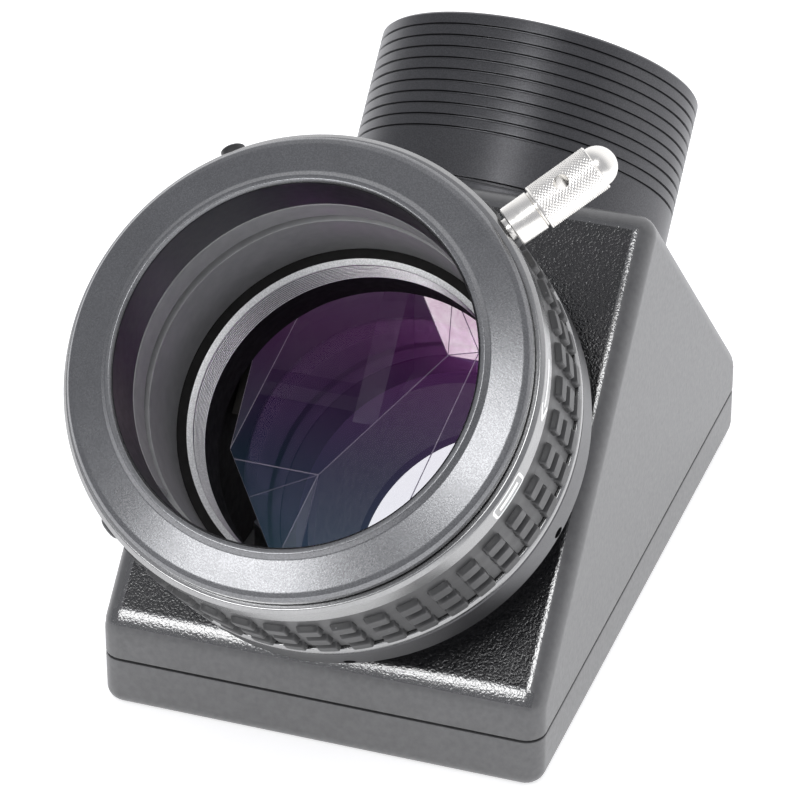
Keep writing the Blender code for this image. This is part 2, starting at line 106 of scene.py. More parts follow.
# Grip
PAD_COLUMNS = 45
PAD_ANGLE = 2.1
PAD_WIDTH = 3.0
PAD_ROWS = ((69.5, 72.5), (64.1, 67.3), (59.6, 62.1))
PAD_RISE = 0.85

# Roof prism
PRISM_LEG = 35.5
PRISM_HALF_WIDTH = 22.5
PRISM_END_H = 26.4
PRISM_TOP = 46.0


# ---------------------------------------------------------------- frames and mesh helpers

def optical_axis(direction):
    """A matrix whose Z is the direction, whose X is +X, and whose origin is where the axes cross."""
    z = Vector(direction).normalized()
    x = Vector((1, 0, 0))
    turn = Matrix((x, z.cross(x), z)).transposed().to_4x4()
    return Matrix.Translation((0, 0, AXES_Z * MM)) @ turn


EYEPIECE_AXIS = optical_axis(LOCK_JOINT["axis"])
NOSE_AXIS = optical_axis((0, 1, 1))


def polar(radius, angle, h):
    return Vector((radius * cos(radians(angle)), radius * sin(radians(angle)), h))


def about_axis(face, matrix):
    """A face's middle as (radius, height) about the matrix's Z, in millimetres."""
    place = matrix.inverted() @ face.center
    return sqrt(place.x ** 2 + place.y ** 2) / MM, place.z / MM


def radial_frame(angle):
    """A matrix whose Z points straight out from the eyepiece axis at this angle, at the sockets' height."""
    outward = polar(1, angle, 0)
    along = Vector((0, 0, 1))
    turn = Matrix((along, outward.cross(along), outward)).transposed().to_4x4()
    return EYEPIECE_AXIS @ Matrix.Translation((0, 0, SOCKET_H * MM)) @ turn


def rounded(outline, radius=0.2, steps=3, closed=True):
    """The outline with each corner replaced by a small curve."""
    count = len(outline)
    result = []
    for k, point in enumerate(outline):
        here = Vector(point)
        if not closed and k in (0, count - 1):
            result.append(here)
            continue
        back = Vector(outline[k - 1]) - here
        ahead = Vector(outline[(k + 1) % count]) - here
        reach = min(radius, 0.45 * back.length, 0.45 * ahead.length)
        start = here + back.normalized() * reach
        end = here + ahead.normalized() * reach
        for step in range(steps + 1):
            t = step / steps
            result.append(start * (1 - t) ** 2 + here * 2 * t * (1 - t) + end * t ** 2)
    return result


def new_object(name, shape, matrix=None, smooth_angle=32):
    """Makes an object, placed by its vertices, from a bmesh in millimetres."""
    bmesh.ops.scale(shape, vec=(MM, MM, MM), verts=shape.verts)
    if matrix:
        bmesh.ops.transform(shape, matrix=matrix, verts=shape.verts)
    bmesh.ops.recalc_face_normals(shape, faces=shape.faces)
    mesh = bpy.data.meshes.new(name)
    shape.to_mesh(mesh)
    shape.free()
    mesh.shade_smooth()
    mesh.set_sharp_from_angle(angle=radians(smooth_angle))
    obj = bpy.data.objects.new(name, mesh)
    bpy.context.scene.collection.objects.link(obj)
    return obj


def lathe(name, profile, matrix, angles=None, sweep=None, closed=True, relief=None, smooth_angle=32):
    """Turns a (radius, height) profile about the matrix's Z.

    angles are where the sections stand, in degrees. With sweep, a (start, end) pair, the piece is an open arc
    with end faces. relief(radius, angle, height) gives each point's own radius.
    """
    if sweep:
        start, end = sweep
        angles = [start + (end - start) * k / STEPS for k in range(STEPS + 1)]
    elif angles is None:
        angles = [360 * k / STEPS for k in range(STEPS)]
    shape = bmesh.new()
    sections = []
    for angle in angles:
        section = []
        for radius, h in profile:
            radius = relief(radius, angle, h) if relief else radius
            section.append(shape.verts.new(polar(radius, angle, h)))
        sections.append(section)
    around = len(sections) if not sweep else len(sections) - 1
    along = len(profile) if closed else len(profile) - 1
    for i in range(around):
        here, there = sections[i], sections[(i + 1) % len(sections)]
        for k in range(along):
            after = (k + 1) % len(profile)
            shape.faces.new((here[k], here[after], there[after], there[k]))
    if sweep:
        shape.faces.new(sections[0])
        shape.faces.new(sections[-1])
    bmesh.ops.remove_doubles(shape, verts=shape.verts, dist=0.0005)
    bmesh.ops.dissolve_degenerate(shape, edges=shape.edges, dist=0.0001)
    return new_object(name, shape, matrix, smooth_angle)


def cutter_rod(radius, start, end, matrix, sides=48):
    """A cylinder between two points, for carve()."""
    start, end = Vector(start), Vector(end)
    shape = bmesh.new()
    bmesh.ops.create_cone(
        shape, cap_ends=True, segments=sides, radius1=radius, radius2=radius, depth=(end - start).length
    )
    turn = (end - start).to_track_quat("Z", "X").to_matrix().to_4x4()
    bmesh.ops.transform(shape, matrix=Matrix.Translation((start + end) / 2) @ turn, verts=shape.verts)
    return new_object("cutter", shape, matrix)


def carve(obj, cutters, smooth_angle=32):
    """Cuts the cutters out of an object's mesh and removes them."""
    for cutter in cutters:
        boolean = obj.modifiers.new("cut", "BOOLEAN")
        boolean.operation = "DIFFERENCE"
        boolean.solver = "EXACT"
        boolean.object = cutter
    bpy.context.view_layer.update()
    mesh = bpy.data.meshes.new_from_object(obj.evaluated_get(bpy.context.evaluated_depsgraph_get()))
    obj.modifiers.clear()
    obj.data = mesh
    mesh.set_sharp_from_angle(angle=radians(smooth_angle))
    for cutter in cutters:
        bpy.data.objects.remove(cutter, do_unlink=True)


def finish_piece(obj, material, body, slot, *nodes):
    """Gives a piece its material and its body, and hides the CAD nodes that it stands for. The slot is not used.
    """
    weighted = obj.modifiers.new("flat_faces_stay_flat", "WEIGHTED_NORMAL")
    weighted.keep_sharp = True
    obj.data.materials.clear()
    for each in material if isinstance(material, (list, tuple)) else [material]:
        obj.data.materials.append(each)
    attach(obj, body)
    if nodes:
        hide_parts(*nodes)
    return obj


# ---------------------------------------------------------------- materials

class Nodes:
    """A material's node tree, with the few calls that these materials need."""

    def __init__(self, name):
        self.material = bpy.data.materials.new(name)
        self.material.use_nodes = True
        self.tree = self.material.node_tree
        self.shader = self.tree.nodes["Principled BSDF"]
        self.place = self.add("ShaderNodeTexCoord").outputs["Object"]

    def add(self, kind, **settings):
        node = self.tree.nodes.new(kind)
        for name, value in settings.items():
            setattr(node, name, value)
        return node

    def link(self, source, target):
        self.tree.links.new(source, target)

    def noise(self, size, detail=2.0, roughness=0.5, distortion=0.0):
        """Noise whose features are about size millimetres across."""
        node = self.add("ShaderNodeTexNoise")
        self.link(self.place, node.inputs["Vector"])
        node.inputs["Scale"].default_value = 1 / (size * MM)
        node.inputs["Detail"].default_value = detail
        node.inputs["Roughness"].default_value = roughness
        node.inputs["Distortion"].default_value = distortion
        return node.outputs["Fac"]

    def cells(self, size):
        """The distance to the middle of Voronoi cells about size millimetres across."""
        node = self.add("ShaderNodeTexVoronoi")
        self.link(self.place, node.inputs["Vector"])
        node.inputs["Scale"].default_value = 1 / (size * MM)
        return node.outputs["Distance"]

    def ramp(self, value, *stops):
        """A colour ramp through (position, grey or colour) stops."""
        node = self.add("ShaderNodeValToRGB")
        self.link(value, node.inputs["Fac"])
        elements = node.color_ramp.elements
        while len(elements) < len(stops):
            elements.new(0.5)
        for element, (position, color) in zip(elements, stops):
            element.position = position
            element.color = (*color, 1) if isinstance(color, tuple) else (color, color, color, 1)
        return node.outputs["Color"]

    def mix(self, factor, first, second, kind="MIX"):
        node = self.add("ShaderNodeMix", data_type="RGBA", blend_type=kind)
        for name, value in (("Factor", factor), ("A", first), ("B", second)):
            socket = next(s for s in node.inputs if s.name == name and s.enabled)
            if hasattr(value, "is_output"):
                self.link(value, socket)
            else:
                socket.default_value = value if name == "Factor" else (*value, 1)
        return next(s for s in node.outputs if s.enabled)

    def bump(self, height, depth):
        """Bump of about depth millimetres."""
        node = self.add("ShaderNodeBump")
        node.inputs["Distance"].default_value = depth * MM
        node.inputs["Strength"].default_value = 1.0
        self.link(height, node.inputs["Height"])
        return node.outputs["Normal"]

    def set(self, **values):
        """Sets the shader's own sockets. A name's underscores stand for spaces."""
        for name, value in values.items():
            socket = self.shader.inputs[name.replace("_", " ")]
            if hasattr(value, "is_output"):
                self.link(value, socket)
            elif isinstance(value, tuple):
                socket.default_value = (*value, 1)
            else:
                socket.default_value = value
        return self.material


def anodised(name, color, roughness, grain_depth=0.006, speckle=0.12):
    """Blasted and anodised aluminium: a dark metal with a fine grain that glitters."""
    grain = 0.22
    nodes = Nodes(name)
    fine = nodes.noise(grain, detail=1.5)
    blotches = nodes.noise(6.0, detail=3)
    tone = nodes.ramp(blotches, *around(color, 0.04))
    dots = nodes.ramp(nodes.noise(grain * 0.9, detail=0), (0.35, 1 - speckle), (0.68, 1 + speckle))
    rough = nodes.ramp(nodes.noise(2.5, detail=3), (0.3, roughness * 0.97), (0.7, roughness * 1.03))
    return nodes.set(
        Base_Color=nodes.mix(1.0, tone, dots, "MULTIPLY"),
        Metallic=1.0,
        Roughness=rough,
        Normal=nodes.bump(fine, grain_depth),
    )


def wrinkle_coat(name, gloss=1.5, coat=0.35, depth=0.03):
    """Black wrinkle enamel: pebbles and short worms about a third of a millimetre across, glossy on top.

    gloss is the refractive index of the clear top coat, and coat is how much of it there is.
    """
    nodes = Nodes(name)
    worms = nodes.noise(0.36, detail=1.6, roughness=0.5, distortion=0.3)
    ridges = nodes.ramp(worms, (0.3, 0.0), (0.5, 0.6), (0.7, 1.0))
    # The colour follows the same worms as the bump, so the troughs are painted darker than the tops: painted shade
    # in the hollows.
    color = nodes.ramp(worms, (0.38, (0.006, 0.006, 0.007)), (0.62, (0.018, 0.018, 0.019)))
    rough = nodes.ramp(nodes.noise(0.5, detail=2), (0.35, 0.14), (0.65, 0.26))
    return nodes.set(
        Base_Color=color,
        Roughness=rough,
        Specular_IOR_Level=0.75,
        Coat_Weight=coat,
        Coat_IOR=gloss,
        Coat_Roughness=0.14,
        Normal=nodes.bump(ridges, depth),
        Coat_Normal=nodes.bump(ridges, depth),
    )


def around(color, spread):
    """A darker and a lighter shade of a colour, as stops for a ramp."""
    return (0.3, tuple((1 - spread) * c for c in color)), (0.7, tuple((1 + spread) * c for c in color))


def fine_enamel(name):
    """The finer coat on the housing's upright walls and sides, and on the cover."""
    color = (0.085, 0.085, 0.087)
    roughness = 0.33
    nodes = Nodes(name)
    grain = nodes.noise(0.35, detail=2.5)
    tone = nodes.ramp(nodes.noise(0.9, detail=4), *around(color, 0.15))
    return nodes.set(
        Base_Color=tone,
        Roughness=nodes.ramp(nodes.noise(0.7, detail=3), (0.3, roughness * 0.9), (0.7, roughness * 1.1)),
        Specular_IOR_Level=1.0,
        Normal=nodes.bump(grain, 0.009),
    )


def moulded_rubber(name):
    nodes = Nodes(name)
    grain = nodes.noise(0.25, detail=2)
    dust = nodes.ramp(nodes.cells(1.7), (0.05, (0.12, 0.12, 0.12)), (0.09, (0.03, 0.03, 0.031)))
    return nodes.set(
        Base_Color=dust,
        Roughness=nodes.ramp(nodes.noise(3.0, detail=3), (0.3, 0.4), (0.7, 0.52)),
        Specular_IOR_Level=0.7,
        Normal=nodes.bump(grain, 0.005),
    )


def plated(name, color, roughness):
    """Satin plate with small stains."""
    nodes = Nodes(name)
    stains = nodes.ramp(nodes.noise(3.0, detail=4), (0.3, tuple(0.92 * c for c in color)), (0.7, color))
    return nodes.set(
        Base_Color=stains,
        Metallic=1.0,
        Roughness=nodes.ramp(nodes.noise(0.8, detail=3), (0.3, roughness * 0.85), (0.7, roughness * 1.15)),
        Normal=nodes.bump(nodes.noise(0.3, detail=1), 0.002),
    )


def plain(name, color, roughness, grain=0.4, depth=0.01, specular=0.5):
    """A matt paint, print or pad with a little unevenness."""
    nodes = Nodes(name)
    tone = nodes.ramp(nodes.noise(2.0, detail=3), (0.3, tuple(0.85 * c for c in color)), (0.7, color))
    duller = min(1, roughness * 1.1)
    return nodes.set(
        Base_Color=tone,
        Roughness=nodes.ramp(nodes.noise(1.2, detail=2), (0.3, roughness * 0.9), (0.7, duller)),
        Specular_IOR_Level=specular,
        Normal=nodes.bump(nodes.noise(grain, detail=2), depth),
    )


def white_print_painted_glow(name):
    """White ink with a faint painted glow, so that it is a little brighter than its own shading and reads against
    the satin metal.
    """
    nodes = Nodes(name)
    tone = nodes.ramp(nodes.noise(0.5, detail=2), (0.3, (0.88, 0.88, 0.87)), (0.7, (0.95, 0.95, 0.94)))
    # The emission here is a painted glow on the print.
    return nodes.set(Base_Color=tone, Roughness=0.5, Emission_Color=(1, 1, 1), Emission_Strength=0.12)


def polished_glass(name, with_painted_glow):
    """Clear optical glass whose thin coat reflects purple.

    A face given the painted glow has a faint painted haze of light added, purple at the top and teal at the
    bottom.
    """
    nodes = Nodes(name)
    split = nodes.add("ShaderNodeSeparateXYZ")
    nodes.link(nodes.place, split.inputs["Vector"])
    across = nodes.add("ShaderNodeMapRange")
    nodes.link(split.outputs["Z"], across.inputs["Value"])
    across.inputs["From Min"].default_value = 20 * MM
    across.inputs["From Max"].default_value = PRISM_TOP * MM
    rise = across.outputs["Result"]
    coat = nodes.ramp(rise, (0.0, (0.7, 0.8, 1.4)), (0.4, (0.9, 0.65, 1.4)), (1.0, (1.5, 0.5, 1.6)))
    # Painted glow: a purple to teal haze of light added as emission on the entrance face.
    painted_glow_color = nodes.ramp(rise, (0.0, (0.008, 0.026, 0.036)), (0.45, (0.004, 0.009, 0.017)),
                      (1.0, (0.022, 0.002, 0.026)))
    return nodes.set(
        Base_Color=(0.74, 0.72, 0.79),
        Roughness=0.0,
        IOR=1.52,
        Specular_Tint=coat,
        Transmission_Weight=1.0,
        Emission_Color=painted_glow_color,
        Emission_Strength=1.0 if with_painted_glow else 0.0,
    )


def ground_glass(name, dark, light, painted_glow_strength):
    """Ground glass, matt and streaked with polishing marks, with a painted glow in its streaked colours that
    stands in for the light scattered inside the prism.
    """
    nodes = Nodes(name)
    streaks = nodes.noise(3.0, detail=6, roughness=0.7, distortion=0.8)
    tone = nodes.ramp(streaks, (0.35, dark), (0.62, light))
    return nodes.set(
        Base_Color=tone,
        Roughness=0.6,
        Emission_Color=tone,
        Emission_Strength=painted_glow_strength,
        Normal=nodes.bump(nodes.noise(0.15, detail=1), 0.01),
    )


MATERIALS = {
    "flange": anodised("flange_anodised", (0.222, 0.224, 0.231), 0.27),
    "band": anodised("band_anodised", (0.36, 0.36, 0.36), 0.2, grain_depth=0.003, speckle=0.05),
    "nose": anodised("nosepiece_anodised", (0.10, 0.10, 0.105), 0.34),
    "bore": plain("bore_grey", (0.4, 0.4, 0.405), 0.4, specular=0.6, depth=0.003),
    "mouth": plain("mouth_black", (0.016, 0.016, 0.017), 0.34, specular=0.4, depth=0.0008),
    # The threads get a far lighter metal than the rest of the black ring: a painted highlight for the light that
    # falls on their flanks.
    "thread": anodised("thread_anodised_painted_highlight", (0.6, 0.6, 0.6), 0.35, grain_depth=0.003),
    "baffle": plain("baffle_black", (0.012, 0.011, 0.011), 0.75, specular=0.3),
    "wrinkle": wrinkle_coat("wrinkle_coat"),
    "wrinkle_edge": wrinkle_coat("wrinkle_coat_edge", gloss=2.4, coat=0.8, depth=0.018),
    "enamel": fine_enamel("fine_enamel"),
    "rubber": moulded_rubber("moulded_rubber"),
    "nickel": plated("satin_nickel", (0.92, 0.9, 0.86), 0.26),
    "steel": plated("bright_steel", (0.5, 0.5, 0.51), 0.3),
    "spring_brass": plated("blackened_brass", (0.16, 0.14, 0.11), 0.35),
    "machined": plated("machined_aluminium", (0.62, 0.62, 0.63), 0.35),
    "print": white_print_painted_glow("white_print_painted_glow"),
    "pad": plain("cork_rubber", (0.03, 0.026, 0.024), 0.85, grain=0.5, depth=0.06),
    "glass": polished_glass("coated_glass", False),
    "entrance": polished_glass("coated_entrance_glass_painted_glow", True),
    # The pink far end and the teal near end glow, and the black sides and the arrises glow faintly: painted glow
    # standing in for light scattered in the prism.
    "ground_far": ground_glass("ground_glass_far_painted_glow", (0.75, 0.55, 0.66), (0.95, 0.80, 0.88), 0.8),
    "ground_near": ground_glass("ground_glass_near_painted_glow", (0.05, 0.11, 0.14), (0.42, 0.62, 0.70), 0.75),
    "ground_side": ground_glass("ground_glass_side_painted_glow", (0.006, 0.005, 0.008), (0.02, 0.015, 0.025), 0.1),
    "arris": ground_glass("ground_arris_painted_glow", (0.35, 0.3, 0.38), (0.55, 0.5, 0.56), 0.12),
    "plug": plain("plug_black", (0.025, 0.025, 0.026), 0.4),
}


# ---------------------------------------------------------------- housing and cover

def wedge(bottom, wall_top, half_length, half_width):
    """A right-angled wedge on a short upright wall, still in millimetres."""
    outline = [
        (-half_length, bottom), (half_length, bottom), (half_length, wall_top),
        (0, wall_top + half_length), (-half_length, wall_top),
    ]
    shape = bmesh.new()
    ends = [[shape.verts.new((x, y, z)) for y, z in outline] for x in (-half_width, half_width)]
    shape.faces.new(ends[0])
    shape.faces.new(reversed(ends[1]))
    for k in range(len(outline)):
        after = (k + 1) % len(outline)
        shape.faces.new((ends[0][k], ends[1][k], ends[1][after], ends[0][after]))
    bmesh.ops.recalc_face_normals(shape, faces=shape.faces)
    return shape


def bevel_edges(shape, chosen, radius, segments):
    edges = [edge for edge in shape.edges if chosen(edge)]
    bmesh.ops.bevel(shape, geom=edges, offset=radius, segments=segments, profile=0.5, affect="EDGES")


def make_housing():
    shape = wedge(HOUSING_BOTTOM, WALL_TOP, LENGTH / 2, WIDTH / 2)
    bevel_edges(shape, lambda e: any(v.co.z > HOUSING_BOTTOM + 0.1 for v in e.verts), EDGE_RADIUS, 6)
    bevel_edges(shape, lambda e: all(v.co.z < HOUSING_BOTTOM + 0.1 for v in e.verts), 0.25, 2)
    housing = new_object("prism_housing_detail", shape)
    half_cavity = LENGTH / 2 - WALL
    cavity_wall_top = APEX - WALL * sqrt(2) - half_cavity
    hollow = wedge(HOUSING_BOTTOM - 2, cavity_wall_top, half_cavity, CAVITY_HALF_WIDTH)
    cavity = new_object("cutter", hollow)
    bores = [
        cutter_rod(SEAT_BORE_R, (0, 0, FACE_H - 4), (0, 0, FACE_H + 2), axis, 128)
        for axis in (EYEPIECE_AXIS, NOSE_AXIS)
    ]
    carve(housing, [cavity, *bores])
    kinds = ["wrinkle", "wrinkle_edge", "enamel", "baffle"]
    finish_piece(housing, [MATERIALS[kind] for kind in kinds], HOUSING_BODY, "wrinkle_black", "prism_housing")
    half_diagonal = sqrt(0.5)
    for face in housing.data.polygons:
        inside = abs(face.center.x) < (CAVITY_HALF_WIDTH + 0.01) * MM and not on_outside(face)
        slope = abs(face.normal.y) * half_diagonal + face.normal.z * half_diagonal
        if inside:
            kind = "baffle"
        elif slope > SLOPING_FACE:
            kind = "wrinkle"
        elif slope > SHINING_EDGE:
            kind = "wrinkle_edge"
        else:
            kind = "enamel"
        face.material_index = kinds.index(kind)


def on_outside(face):
    """Whether a housing face is on the two sloping faces, the upright walls or their rounded edges."""
    x, y, z = (value / MM for value in face.center)
    sloping = (abs(y) + z - AXES_Z) * sqrt(0.5) > FACE_H - 1.5
    return sloping or abs(y) > LENGTH / 2 - 2


def make_cover():
    shape = bmesh.new()
    bmesh.ops.create_cube(shape, size=1)
    bmesh.ops.scale(shape, vec=(WIDTH, LENGTH, COVER_TOP), verts=shape.verts)
    bmesh.ops.translate(shape, vec=(0, 0, COVER_TOP / 2), verts=shape.verts)
    bevel_edges(shape, lambda e: abs(e.verts[0].co.z - e.verts[1].co.z) > 1, EDGE_RADIUS, 6)
    bevel_edges(shape, lambda e: all(v.co.z < 0.01 for v in e.verts), 2.2, 5)
    bevel_edges(shape, lambda e: all(v.co.z > COVER_TOP - 0.01 for v in e.verts), 0.25, 2)
    cover = new_object("base_cover_detail", shape)
    pocket = bmesh.new()
    bmesh.ops.create_cube(pocket, size=1)
    bmesh.ops.scale(pocket, vec=(44, 86, COVER_TOP), verts=pocket.verts)
    bmesh.ops.translate(pocket, vec=(0, 0, 4 + COVER_TOP / 2), verts=pocket.verts)
    cutters = [new_object("cutter", pocket)]
    for number in (1, 2, 3, 4):
        low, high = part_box(f"cover_screw_{number}")
        x, y = (low.x + high.x) / 2 / MM, (low.y + high.y) / 2 / MM
        cutters.append(cutter_rod(3.1, (x, y, -1), (x, y, 3.2), Matrix()))
        cutters.append(cutter_rod(1.7, (x, y, 3), (x, y, 10), Matrix()))
    carve(cover, cutters)
    finish_piece(cover, MATERIALS["enamel"], HOUSING_BODY, "satin_black", "base_cover")


# ---------------------------------------------------------------- prism

def keep_side(shape, normal, distance):
    """Cuts away what lies beyond a plane and closes the cut."""
    normal = Vector(normal).normalized()
    geometry = shape.verts[:] + shape.edges[:] + shape.faces[:]
    result = bmesh.ops.bisect_plane(
        shape, geom=geometry, plane_co=normal * distance, plane_no=normal, clear_outer=True
    )
    rim = [item for item in result["geom_cut"] if isinstance(item, bmesh.types.BMEdge)]
    bmesh.ops.contextual_create(shape, geom=rim)


def make_prism():
    shape = bmesh.new()
    bmesh.ops.create_cube(shape, size=400)
    polished = [Vector(n).normalized() for n in ((0, -1, 1), (0, 1, 1), (1, 0, -1), (-1, 0, -1))]
    keep_side(shape, (1, 0, 0), PRISM_HALF_WIDTH)
    keep_side(shape, (-1, 0, 0), PRISM_HALF_WIDTH)
    keep_side(shape, (0, -1, 1), PRISM_LEG)
    keep_side(shape, (0, 1, 1), PRISM_LEG)
    keep_side(shape, (1, 0, -1), 0)
    keep_side(shape, (-1, 0, -1), 0)
    keep_side(shape, (0, -1, -1), PRISM_END_H)
    keep_side(shape, (0, 1, -1), PRISM_END_H)
    keep_side(shape, (0, 0, 1), PRISM_TOP)
    bmesh.ops.bevel(shape, geom=shape.edges[:], offset=0.1, segments=1, affect="EDGES")
    bmesh.ops.translate(shape, vec=(0, 0, AXES_Z), verts=shape.verts)
    prism = new_object("roof_prism_detail", shape, smooth_angle=5)
    kinds = ["glass", "entrance", "ground_far", "ground_near", "ground_side", "arris"]
    finish_piece(prism, [MATERIALS[kind] for kind in kinds], HOUSING_BODY, "glass", "roof_prism")
    prism.visible_shadow = False
    prism.visible_diffuse = False
    flats = [((0, -1, 1), "entrance"), *[(normal, "glass") for normal in polished[1:]]]
    flats += [((0, 1, -1), "ground_far"), ((0, -1, -1), "ground_near"), ((0, 0, 1), "ground_side")]
    flats += [((1, 0, 0), "ground_side"), ((-1, 0, 0), "ground_side")]
    for face in prism.data.polygons:
        facing = (kind for normal, kind in flats if face.normal.dot(Vector(normal).normalized()) > 0.999)
        face.material_index = kinds.index(next(facing, "arris"))
        face.use_smooth = False


# ---------------------------------------------------------------- nosepiece

def make_nosepiece():
    end_h, groove_first, groove_pitch, grooves = 72.0, 69.85, 1.825, 10
    groove_r = NOSE_R - 0.4
    outline = [(23.9, end_h), (NOSE_R - 0.4, end_h), (NOSE_R, end_h - 0.4)]
    for number in range(grooves):
        h = groove_first - number * groove_pitch
        outline += [(NOSE_R, h + 0.22), (groove_r, h + 0.12), (groove_r, h - 0.12), (NOSE_R, h - 0.22)]
    outline += [(NOSE_R, 46.0), (24.6, 46.0), (24.6, 38.0), (23.3, 38.0), (23.3, 67.0)]
    for number in range(9):
        h = 67.2 + 0.5 * number
        outline += [(23.9, h), (23.6, h + 0.25)]
    barrel = lathe("nosepiece_barrel_detail", rounded(outline, 0.07, 2), NOSE_AXIS)
    finish_piece(barrel, [MATERIALS["nose"], MATERIALS["baffle"]],
                 HOUSING_BODY, "satin_black", "nosepiece_barrel")
    for face in barrel.data.polygons:
        radius, h = about_axis(face, NOSE_AXIS)
        face.material_index = 1 if radius < 24.2 and h < end_h - 0.1 else 0
    seat = FACE_H + SEAT_GAP
    outline = [
        (24.9, 45.3), (NOSE_RING_R - 0.3, 45.3), (NOSE_RING_R, 45.0), (NOSE_RING_R, seat), (24.9, seat),
    ]
    ring = lathe("nosepiece_lock_ring_detail", rounded(outline, 0.15), NOSE_AXIS)
    finish_piece(ring, MATERIALS["nose"], HOUSING_BODY, "satin_black", "nosepiece_lock_ring")


# ---------------------------------------------------------------- eyepiece clamp, fixed parts

def make_mount_ring():
    seat = FACE_H + SEAT_GAP
    outline = [
        (24.2, 53.2), (27.2, 53.2), (27.2, 49.7), (NECK_R, 49.7), (NECK_R, seat), (24.6, seat),
        (24.6, 38.0), (23.6, 38.0), (23.6, 46.3),
    ]
    crests = 9
    for number in range(crests):
        h = 46.6 + number * 0.64
        outline += [(23.25, h), (23.25, h + 0.32), (23.95, h + 0.36), (23.95, h + 0.6)]
    outline += [(23.25, 52.4), (23.25, 52.8)]
    ring = lathe("clamp_mount_ring_detail", rounded(outline, 0.08, 2), EYEPIECE_AXIS)
    finish_piece(ring, [MATERIALS["thread"], MATERIALS["baffle"], MATERIALS["nose"]],
                 HOUSING_BODY, "matt_black", "clamp_mount_ring")
    for face in ring.data.polygons:
        radius, h = about_axis(face, EYEPIECE_AXIS)
        if radius > 28:
            face.material_index = 2
        elif h < 46.4 or radius > 23.5 and (h < 52.8 or radius > 24.1):
            face.material_index = 1


def make_clamp_body():
    cage_r, sleeve_r = 27.2, 28.5
    outline = [
        (cage_r, 76.2), (sleeve_r, 76.2), (sleeve_r, 57.2), (BODY_R - 0.5, 57.2), (BODY_R, 56.7),
        (BODY_R, 50.5), (BODY_R - 0.5, 50.0), (27.5, 50.0), (27.5, 53.5), (BORE_R, 53.5), (BORE_R, 67.0),
        (cage_r, 67.0),
    ]
    body = lathe("clamp_body_detail", rounded(outline, 0.15), EYEPIECE_AXIS)
    holes = []
    for angle in PIN_HOLE_ANGLES:
        inner, outer = polar(BODY_R - 2.4, angle, PIN_HOLE_H), polar(BODY_R + 1, angle, PIN_HOLE_H)
        holes.append(cutter_rod(PIN_HOLE_R, inner, outer, EYEPIECE_AXIS, 32))
    carve(body, holes)
    finish_piece(body, [MATERIALS["nose"], MATERIALS["bore"]], HOUSING_BODY, "satin_black", "clamp_body")
    for face in body.data.polygons:
        radius, _ = about_axis(face, EYEPIECE_AXIS)
        face.material_index = 1 if radius < cage_r + 0.1 else 0


def make_flange():
    outline = [
        (BORE_R, 84.3), (BORE_R + 0.4, 84.88), (26.5, 84.88), (27.2, 84.38), (31.5, 83.38), (32.2, 83.1),
        (FLANGE_R, 82.6), (FLANGE_R, 81.3), (30.2, 81.3), (30.2, 74.2), (28.8, 74.2), (28.8, 76.5),
        (26.9, 76.5), (26.9, 74.8), (BORE_R, 74.8),
    ]
    flange = lathe("front_flange_detail", rounded(outline, 0.12), EYEPIECE_AXIS)
    finish_piece(flange, [MATERIALS["flange"], MATERIALS["mouth"]],
                 HOUSING_BODY, "satin_black", "front_flange")
    for face in flange.data.polygons:
        radius, h = about_axis(face, EYEPIECE_AXIS)
        face.material_index = 1 if radius < BORE_R + 0.05 or h < 81 else 0


def make_clamp_band():
    low, high = 69.3, 74.5
    half_gap = 5.3
    middle = -129.5
    outline = rounded([(BORE_R, high), (BAND_R, high), (BAND_R, low), (BORE_R, low)], 0.25)
    arc = (middle + half_gap, middle - half_gap + 360)
    band = lathe("clamp_band_detail", outline, EYEPIECE_AXIS, sweep=arc)
    finish_piece(band, [MATERIALS["bore"], MATERIALS["machined"]], HOUSING_BODY, "brass", "clamp_band")
    ends = sorted(band.data.polygons, key=lambda face: len(face.vertices))[-2:]
    for face in ends:
        face.material_index = 1


# ---------------------------------------------------------------- eyepiece clamp, turning parts

def make_lock_ring():
    rubber_low, rubber_high = 59.2, 76.2
    outline = [
        (30.5, 80.8), (PRINT_R - 0.6, 80.8), (PRINT_R, 80.3), (PRINT_R, rubber_high), (33.0, rubber_high),
        (33.0, rubber_low), (RING_R - 0.4, rubber_low), (RING_R, 58.8), (RING_R, 57.9), (RING_R - 0.4, 57.5),
        (28.8, 57.5), (28.8, 73.9), (30.5, 73.9),
    ]
    ring = lathe("lock_ring_detail", rounded(outline, 0.15), EYEPIECE_AXIS)
    finish_piece(ring, MATERIALS["band"], RING_BODY, "satin_black", "lock_ring")


def pad_distance(across, along, half_width, half_height, corner):
    """Signed distance from a point to a rounded rectangle round the origin, negative inside."""
    dx = abs(across) - half_width + corner
    dy = abs(along) - half_height + corner
    outside = sqrt(max(dx, 0) ** 2 + max(dy, 0) ** 2)
    return outside + min(max(dx, dy), 0) - corner


def grip_relief(radius, angle, h):
    """The grip's radius: rows of rounded pads stand on a plain floor."""
    if radius < RUBBER_R - PAD_RISE - 0.01:
        return radius
    pitch = 360 / PAD_COLUMNS
    off_centre = (angle - PAD_ANGLE + pitch / 2) % pitch - pitch / 2
    across = radians(off_centre) * RUBBER_R
    floor = RUBBER_R - PAD_RISE
    best = floor
    for low, high in PAD_ROWS:
        distance = pad_distance(across, h - (low + high) / 2, PAD_WIDTH / 2, (high - low) / 2, 0.45)
        share = min(1, max(0, 0.5 - distance / 0.3))
        best = max(best, floor + PAD_RISE * (1 - (1 - share) ** 2))
    return best


